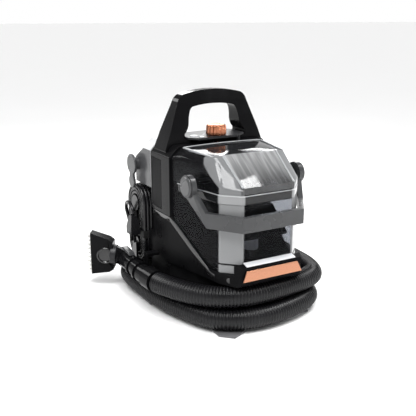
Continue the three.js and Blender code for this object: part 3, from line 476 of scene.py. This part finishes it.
# ---- suction hose --------------------------------------------------------------------------------
LOW, TOP = 22.8, 61.9  # heights of the two turns' middles
HOSE_ROUTE = [
    [60, 152, LOW], [68, 151.6, LOW], [102, 137, LOW], [124, 106, LOW], [134, 62, LOW],
    [136, 10, LOW], [136, -50, LOW], [134, -100, LOW], [127, -145, LOW], [112, -176, LOW],
    [84, -194, LOW], [46, -206, LOW], [4, -212, LOW], [-37, -209, LOW], [-68, -198, LOW],
    [-90, -180, LOW], [-104, -155, LOW], [-115, -122, LOW], [-126, -82, LOW], [-132, -36, LOW],
    [-134, 12, LOW], [-134, 58, LOW], [-127, 98, LOW], [-106, 130, LOW], [-78, 148, 25],
    [-50, 154, 34], [-22, 155, 47], [6, 155, 58], [34, 155, TOP], [72, 152, TOP],
    [112, 130, TOP], [134, 98, TOP], [143, 54, TOP], [145, 4, TOP], [145, -52, TOP],
    [143, -104, TOP], [137, -144, TOP], [122, -174, TOP], [92, -189, TOP], [48, -198, TOP],
    [4, -203, TOP], [-36, -202, TOP], [-68, -193, TOP], [-92, -177, TOP], [-111, -155, TOP],
    [-126, -128, TOP], [-138, -98, TOP], [-145, -70, 61],
]
HOSE_R = 0.019
RIB_PITCH = 0.0052
RIB_DEPTH = 0.0021
RINGS_PER_RIB = 6
HOSE_SIDES = 24


def ribbed_hose():
    """Radius falls from the crest by the depth times a flattened cosine, once in every rib."""
    path = curve_through(placed(HOSE_ROUTE), RIB_PITCH / RINGS_PER_RIB)
    phase = 2 * pi * np.arange(len(path)) / RINGS_PER_RIB
    dip = (0.5 - 0.5 * np.cos(phase)) ** 1.4
    return tube_along("suction_hose_ribbed", path, HOSE_R - RIB_DEPTH * dip, HOSE_SIDES), path


hose, hose_path = ribbed_hose()
belongs(hose, "suction_hose", HOSE)

# ---- mains cord: lead, wound hank and tail -------------------------------------------------------
HANK = {"y": 90.0, "z": 126.0, "run": 84.0, "x": -89.5, "cord": 7.0, "inner": 21.0}
LEAD = [
    [-52, 112.6, 104], [-52, 121, 104], [-52, 130, 104], [-55, 142, 105], [-64, 151, 109],
    [-77, 153, 117], [-88, 148, 126], [-93, 140, 133], [-92, 131, 142], [-90, 126.5, 152],
]
TAIL = [
    [-113, 111, 108], [-118, 111, 122], [-121, 111.4, 136], [-125, 110, 152], [-128, 103, 165],
    [-129, 90, 171], [-129, 77, 166], [-129, 69, 158], [-129, 69, 150.5],
]
COLUMNS = 4
LAYERS = 3
STARTS_AT, STOPS_AT = 0.93, 0.14  # shares of the first and the last run that are wound
RUN_STEPS, ARC_STEPS = 8, 14
CORD_SPACING = 0.0035
CORD_SIDES = 10


def winding():
    """Turns round two runs and two half circles; each bottom half circle steps one cord's width."""
    column = [0, 1, 2, 3, 3, 2, 1, 0, 0, 1, 2, 3, 3]
    layer = [2] * COLUMNS + [1] * COLUMNS + [0] * (COLUMNS + 1)
    run = HANK["run"]
    places = []
    for turn in range(COLUMNS * LAYERS + 1):
        r = HANK["inner"] + HANK["cord"] * layer[turn]
        following = min(turn + 1, COLUMNS * LAYERS)
        r_next = HANK["inner"] + HANK["cord"] * layer[following]
        x, x_next = [HANK["x"] - HANK["cord"] * column[n] for n in (turn, following)]
        high, low = HANK["z"] + run / 2, HANK["z"] - run / 2
        start = run * STARTS_AT if turn == 0 else 0.0
        stop = run * STOPS_AT if turn == COLUMNS * LAYERS else run
        up = np.linspace(start, stop, RUN_STEPS)
        places.append(np.stack([0 * up + x, 0 * up + HANK["y"] + r, low + up], 1))
        if turn == COLUMNS * LAYERS:
            break
        a = np.linspace(0, pi, ARC_STEPS)[1:]
        places.append(np.stack([0 * a + x, HANK["y"] + r * np.cos(a), high + r * np.sin(a)], 1))
        down = np.linspace(0, run, RUN_STEPS)[1:]
        places.append(np.stack([0 * down + x, 0 * down + HANK["y"] - r, high - down], 1))
        share = np.linspace(0, 1, ARC_STEPS)[1:]
        ease = share * share * (3 - 2 * share)
        radius, middle = r + (r_next - r) * ease, x + (x_next - x) * ease
        a = pi + pi * share
        under = np.stack([middle, HANK["y"] + radius * np.cos(a), low + radius * np.sin(a)], 1)
        places.append(under[:-1])
    return np.vstack(places)


cord_path = curve_through(placed(np.vstack([LEAD, winding(), TAIL])), CORD_SPACING)
cord = tube_along("mains_cord", cord_path, HANK["cord"] / 2 * MM, CORD_SIDES)
paint(cord, CORD)
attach(cord, "machine")
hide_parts("cord_lead", "cord_hank", "plug_tail")

# ---- softened mouldings --------------------------------------------------------------------------
EDGE_ROUNDING = {
    "lower_housing": 1.0, "base_pan": 0.8, "spine_shell": 2.4, "side_panel_left": 0.8,
    "side_panel_right": 0.8, "carry_handle": 3.2, "control_plate": 1.0, "recovery_tank": 0.9,
    "tank_lid": 1.0, "bail_handle": 2.6, "clean_tank": 1.2, "cord_bracket": 1.2, "cord_hook": 1.6,
    "hose_inlet": 1.2, "hose_cuff": 1.6, "wand": 1.2, "wand_trigger": 1.6, "tool_collar": 2.0,
    "stain_tool": 2.4, "plug": 1.8, "wand_clip": 0.8, "nose_strip": 0.5, "nameplate": 0.6,
    "handle_grip": 1.2, "cord_strap": 0.4, "fill_cap": 1.0, "pivot_cap_left": 1.0,
    "pivot_cap_right": 1.0, "foot_front_left": 1.2, "foot_front_right": 1.2, "foot_rear_left": 1.2,
    "foot_rear_right": 1.2, "indicator_lens": 0.4, "tank_separator": 0.6, "tank_seal": 0.5,
    "float": 1.0,
}
SPECIAL = {
    "base_pan": LUG_GREY, "nameplate": PLATE_COPPER, "control_plate": DARK_PLATE,
    "cord_bracket": BRACKET, "tool_collar": DARK_PLATE, "tank_lid": LID_CLEAR,
}
for node, width in EDGE_ROUNDING.items():
    finish = SPECIAL.get(node, FINISH[SLOT_OF[node]])
    belongs(softened(node, width), node, finish)

# ---- turned pieces -------------------------------------------------------------------------------
DIAL = {"x": 0, "y": -30, "low": 295, "high": 331, "flutes": 14, "dip": 0.125, "sides": 192}
SKIRT = (0.33, 0.97)  # the fluted part, as shares of the dial's height
DIAL_PROFILE = [
    (0, 4.5), (0.42, 4.5), (0.455, 4.6), (0.457, 17.6), (0.475, 18.7), (0.51, 19), (0.70, 18.8),
    (0.88, 18.3), (0.93, 17.9), (0.962, 17.0), (0.985, 15.4), (0.99, 13.6), (0.965, 12.6), (0.96, 2),
]


def knurled(rows, angle):
    """Flutes run up the skirt: the radius dips an eighth where the cosine groove is deepest."""
    groove = (0.5 - 0.5 * np.cos(DIAL["flutes"] * angle)) ** 0.5
    skirt = np.where((rows[:, 0] > SKIRT[0]) & (rows[:, 0] < SKIRT[1]), 1.0, 0.0)
    return 1 - DIAL["dip"] * skirt[:, None] * (1 - groove)[None]


dial_ends = [[DIAL["x"], DIAL["y"], DIAL[end]] for end in ("low", "high")]
dial = turned("mode_dial_fluted", *dial_ends, DIAL_PROFILE, DIAL["sides"], knurled)
belongs(dial, "mode_dial", COPPER)

# The buttons' pale colour is a painted highlight for the light they catch.
BUTTONS = {"power_button": (-45, -26, 6.5), "steam_button": (-37, -41, 4.5)}  # x, y and radius
DOME = [(0, 1), (0.7, 1), (0.86, 0.96), (0.95, 0.86), (1, 0.68), (0.95, 0.4)]
DIMPLE = (0.92, 0.3)
for name, (x, y, r) in BUTTONS.items():
    low, high = (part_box(name)[end][2] / MM for end in (0, 1))
    dome = [(along, r * share) for along, share in DOME] + [DIMPLE]
    belongs(turned(name + "_domed", [x, y, low], [x, y, high], dome), name, PALE)

RELIEF_ENDS = [-52, 112.4, 104], [-52, 127, 104]
RELIEF_RIBS, FIRST_RIB, RIB_STEP = 6, 0.28, 0.115
sleeve = [(0, 8), (0.19, 8), (0.23, 6.6)]
for step in range(RELIEF_RIBS):
    at = FIRST_RIB + RIB_STEP * step
    crest, root = 6.4 - 0.3 * step, 5.3 - 0.2 * step
    sleeve += [(at, crest), (at + 0.04, crest), (at + 0.05, root), (at + 0.09, root)]
relief = turned("strain_relief_ribbed", *RELIEF_ENDS, sleeve + [(1, 4.2)], 32)
belongs(relief, "strain_relief", RUBBER)

# ---- bristles ------------------------------------------------------------------------------------
TOOL_AXIS = unit([-0.8285, 0.5523, 0.0921])
TOOL_ACROSS = unit(np.cross([0, 0, 1.0], TOOL_AXIS))
COLLAR_FROM, COLLAR_LONG = np.array([-154, 96, 63.8]), 13
COLLAR_END = COLLAR_FROM + COLLAR_LONG * TOOL_AXIS
MOUTH, MOUTH_HALF = 38.0, 43.0
TUFTS_UP, TUFTS_ACROSS, STRANDS = 10, 3, 14
TUFT_LONG, TUFT_R, TUFT_MARGIN, LINE_GAP = 14.6, 2.6, 9, 6.0
STRAND_AT = np.array([0.0, 0.7, 1.0])
STRAND_R = np.array([1.25, 1.25, 1.05])
STRAND_SIDES = 5
GOLDEN_ANGLE = 2.399963


def bristles():
    """Rows of tufts: strand n leaves the root r * sqrt(n / count) out, at n golden angles round."""
    sides = STRAND_SIDES
    angle = np.linspace(0, 2 * pi, sides, endpoint=False)
    up = np.array([0, 0, 1.0])
    round_strand = np.cos(angle)[:, None] * TOOL_ACROSS + np.sin(angle)[:, None] * up
    turn = np.arange(STRANDS) * GOLDEN_ANGLE
    spread = TUFT_R * np.sqrt(np.arange(STRANDS) / STRANDS)
    lean = spread[:, None] * (np.cos(turn)[:, None] * TOOL_ACROSS + np.sin(turn)[:, None] * up)
    pitch = (2 * MOUTH_HALF - TUFT_MARGIN) / (TUFTS_UP - 1)
    rows = (np.arange(TUFTS_UP) - (TUFTS_UP - 1) / 2) * pitch
    lines = (np.arange(TUFTS_ACROSS) - (TUFTS_ACROSS - 1) / 2) * LINE_GAP
    root = COLLAR_END + (MOUTH + 0.5) * TOOL_AXIS
    roots = root + rows[:, None, None] * up + lines[None, :, None] * TOOL_ACROSS
    centre = (
        roots[:, :, None, None] + lean[None, None, :, None] * (0.92 + 0.12 * STRAND_AT[:, None])
        + TUFT_LONG * STRAND_AT[:, None] * TOOL_AXIS
    )
    rings = centre[..., None, :] + STRAND_R[:, None, None] * round_strand
    one = np.array(grid_faces(len(STRAND_AT), sides, False))
    count = TUFTS_UP * TUFTS_ACROSS * STRANDS
    start = np.arange(count)[:, None, None] * len(STRAND_AT) * sides
    faces = (one + start).reshape(-1, 4).tolist()
    for end in (np.arange(sides)[::-1], (len(STRAND_AT) - 1) * sides + np.arange(sides)):
        faces += (end + start[:, 0]).tolist()
    return as_piece("bristle_tufts", placed(rings.reshape(-1, 3)), faces)


tufts = belongs(bristles(), "bristle_strip", GLOWING_BRISTLE)


def on_tool(along, sideways, up=0.0):
    """A place past the collar's end: along the tool, then across and up from its axis."""
    return COLLAR_END + along * TOOL_AXIS + sideways * TOOL_ACROSS + np.array([0, 0, up])


BOSS = {"along": 9, "from": 10, "to": 15.6}
BOSS_PROFILE = [
    (0, 17), (0.62, 17), (0.86, 16.4), (1, 15), (0.97, 13.6), (0.7, 12.8), (0.62, 11), (0.6, 0.3),
]
STUD = {"along": 31, "from": 9, "to": 12.4, "up": 33}
STUD_PROFILE = [(0, 2.2), (0.8, 2.2), (1, 1.7), (1, 0.2)]
boss_ends = [on_tool(BOSS["along"], BOSS[end]) for end in ("from", "to")]
added(turned("tool_face_boss", *boss_ends, BOSS_PROFILE), "tool", TRIM_GLOSS)
for sign in (-1, 1):
    for up in (-STUD["up"], STUD["up"]):
        stud_ends = [on_tool(STUD["along"], sign * STUD[end], up) for end in ("from", "to")]
        stud = turned(f"tool_stud_{sign}_{up}", *stud_ends, STUD_PROFILE, 16)
        added(stud, "tool", GLOSS)

# ---- trims that follow the mouldings -------------------------------------------------------------
STRIP_SPACING = 0.004
ACROSS_STRIP = np.linspace(-1, 1, 9)
FOOT_DEPTH = 0.5


def strip(name, line, outward, half_width, height, crown=0.35):
    """A raised strip: h * (1 - crown + crown * sqrt(1 - t * t)) across it, its foot in the wall."""
    source = placed(line)
    path = evenly(source, STRIP_SPACING)
    run = np.concatenate([[0], np.cumsum(np.linalg.norm(np.diff(source, axis=0), axis=1))])
    at = np.linspace(0, run[-1], len(path))
    facing = np.broadcast_to(np.array(outward, float), source.shape)
    out = np.stack([np.interp(at, run, facing[:, n]) for n in range(3)], 1)
    tangent = unit_rows(np.gradient(path, axis=0))
    out -= (out * tangent).sum(1)[:, None] * tangent
    out = unit_rows(out)
    across = np.cross(tangent, out)
    arch = height * ((1 - crown) + crown * np.sqrt(np.clip(1 - ACROSS_STRIP ** 2, 0, 1)))
    foot = [[half_width, -FOOT_DEPTH], [-half_width, -FOOT_DEPTH]]
    section = np.concatenate([np.stack([ACROSS_STRIP * half_width, arch], 1), foot]) * MM
    aside, away = section[None, :, 0, None], section[None, :, 1, None]
    rings = path[:, None] + aside * across[:, None] + away * out[:, None]
    return facing_out(as_piece(name, rings.reshape(-1, 3), grid_faces(len(path), len(section))))


WALL = {"y": [-218, -180, -48, 112], "half_width": [61, 81, 105, 105]}
CRADLE_EDGE = [(26, 166.5), (-46, 166.5), (-55, 162), (-152, 97), (-162, 94), (-198, 93)]
TAPER_FROM, TAPER = -48, -0.18
LID_RAIL = [(82, -56, 298.2), (70.6, -140, 294.6)]
LID_RIB = [(54, -143, 296.4), (50.5, -203.6, 252.6)]


def wall_x(y):
    """Half width of the lower housing's side wall at a place along the machine."""
    return np.interp(y, WALL["y"], WALL["half_width"])


def mirrored(points, side):
    return [[side * x, y, z] for x, y, z in points]


for side, word in ((-1, "left"), (1, "right")):
    edge = [[side * wall_x(y), y, z] for y, z in CRADLE_EDGE]
    outward = [[side, TAPER if y < TAPER_FROM else 0, 0] for y, _ in CRADLE_EDGE]
    trim = strip("cradle_trim_" + word, edge, outward, 4.6, 0.9)
    added(trim, "machine", TRIM_GLOSS)
    # The rails' and ribs' pale tone is a painted highlight.
    rail = strip("lid_shoulder_rail_" + word, mirrored(LID_RAIL, side), [side * 0.3, 0, 1], 1.8, 1.1)
    added(rail, "lid", CLEAR_EDGE_HIGHLIGHT)
    rib = strip("lid_front_rib_" + word, mirrored(LID_RIB, side), [side * 0.2, -0.5, 0.8], 2.0, 1.2)
    added(rib, "lid", CLEAR_EDGE_HIGHLIGHT)

# The lid's rear rib carries the same painted highlight.
ARC = {"half": 80, "y": -55, "z": 298.4, "rise": 1.6}
arc = [
    [x, ARC["y"], ARC["z"] + ARC["rise"] * (1 - (x / ARC["half"]) ** 2)]
    for x in np.linspace(-ARC["half"], ARC["half"], 15)
]
added(strip("lid_rear_rib", arc, [0, 0, 1], 2.2, 1.1), "lid", CLEAR_EDGE_HIGHLIGHT)

TANK_PLAN = [(-100, -66), (-78, -178), (-52, -204), (52, -204), (78, -178), (100, -66)]
TANK_OUT = [
    [-1, -0.2, 0], [-0.9, -0.5, 0], [-0.4, -1, 0], [0.4, -1, 0], [0.9, -0.5, 0], [1, -0.2, 0],
]
TANK_BANDS = {  # height, half width, how far it stands out, finish
    "tank_rim_band": (231, 8.0, 0.7, RIM),
    # the rim line's pale tone is a painted highlight
    "tank_rim_line": (238, 0.8, 1.2, CLEAR_EDGE_HIGHLIGHT),
    "tank_foot_band": (119, 1.2, 0.7, GLOSS),
}
for name, (z, half, lift, finish) in TANK_BANDS.items():
    band = strip(name, [[x, y, z] for x, y in TANK_PLAN], TANK_OUT, half, lift, 0.2)
    added(band, "tank", finish)

REAR = [0, 1, 0]
LOUVRES = {"count": 6, "low": 91, "pitch": 4.6, "x": (18, 88), "y": 112}
WELDS = {"z": (150, 262), "x": (-58, 82), "y": 108}
for number in range(LOUVRES["count"]):
    z = LOUVRES["low"] + LOUVRES["pitch"] * number
    line = [[x, LOUVRES["y"], z] for x in LOUVRES["x"]]
    louvre = strip(f"rear_louvre_{number}", line, REAR, 1.3, 1.3, 0.8)
    added(louvre, "machine", SATIN)
for number, z in enumerate(WELDS["z"]):
    line = [[x, WELDS["y"], z] for x in WELDS["x"]]
    weld = strip(f"clean_tank_weld_{number}", line, REAR, 1.5, 1.0)
    added(weld, "clean", SMOKE)

MARKS = {"count": 7, "first": -60, "step": 20, "radii": (22.5, 25.5), "z": 311}
for number in range(MARKS["count"]):
    a = radians(MARKS["first"] + MARKS["step"] * number)
    line = [[r * np.sin(a), DIAL["y"] + r * np.cos(a), MARKS["z"]] for r in MARKS["radii"]]
    mark = strip(f"dial_mark_{number}", line, [0, 0, 1], 0.5, 0.25)
    added(mark, "machine", PALE)

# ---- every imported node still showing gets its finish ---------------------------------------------
for node, item in NODES.items():
    if node not in REPLACED:
        paint(item, FINISH[SLOT_OF[node]])

# ---- studio --------------------------------------------------------------------------------------
FLOOR_HALF = 60.0
AIM = (0, 0, 0.2)
SKY_FADE = {1: 0.03, 2: 0.4, 3: 1.0, 4: 0.2}  # bright near the horizon, dimmer overhead
LAMPS = [  # name, kind, place, size in metres (an angle in radians for the sun), power
    ("overhead", "SUN", (-0.7, -0.9, 3.0), (0.6, 0.6), 2.75),
    ("key", "AREA", (-1.3, -0.5, 1.6), (0.4, 0.7), 11),
    ("lid_glow", "AREA", (0.78, -0.42, 1.65), (0.34, 0.5), 10),
    ("rear_right", "AREA", (0.85, 1.25, 1.0), (1.3, 0.4), 16),
    ("right_edge", "AREA", (1.4, -0.6, 0.7), (0.22, 1.0), 9),
    ("rear_edge", "AREA", (-0.9, 1.3, 0.9), (0.9, 0.3), 6),
]


def plain_floor():
    corners = np.array([[-1, -1, 0], [1, -1, 0], [1, 1, 0], [-1, 1, 0]], float) * FLOOR_HALF
    floor = as_piece("floor", corners, [[0, 1, 2, 3]])
    bench = Bench("floor_paint", (0.92, 0.92, 0.92), 0.6, Specular_IOR_Level=0.2)
    bench.wear("Roughness", bench.ramp(bench.noise(2, 2), 0.3, 0.7, 0.55, 0.65))
    paint(floor, bench.material)


def soft_sky():
    world = bpy.data.worlds.new("studio")
    world.use_nodes = True
    nodes, links = world.node_tree.nodes, world.node_tree.links
    sky = nodes.new("ShaderNodeTexCoord")
    parts = nodes.new("ShaderNodeSeparateXYZ")
    fade = nodes.new("ShaderNodeMapRange")
    fade.interpolation_type = "SMOOTHSTEP"
    for index, value in SKY_FADE.items():
        fade.inputs[index].default_value = value
    background = nodes["Background"]
    background.inputs["Color"].default_value = (1, 1, 1, 1)
    links.new(sky.outputs["Generated"], parts.inputs[0])
    links.new(parts.outputs[2], fade.inputs[0])
    links.new(fade.outputs[0], background.inputs["Strength"])
    bpy.context.scene.world = world


def hang(name, kind, place, size, power):
    lamp = bpy.data.lights.new(name, kind)
    if kind == "SUN":
        lamp.angle = size[0]
    else:
        lamp.shape = "RECTANGLE"
        lamp.size, lamp.size_y = size
    lamp.energy = power
    holder = bpy.data.objects.new(name, lamp)
    holder.location = place
    holder.rotation_euler = (Vector(AIM) - Vector(place)).to_track_quat("-Z", "Y").to_euler()
    bpy.context.collection.objects.link(holder)


plain_floor()
soft_sky()
bpy.context.scene.view_settings.view_transform = "Standard"
for entry in LAMPS:
    hang(*entry)
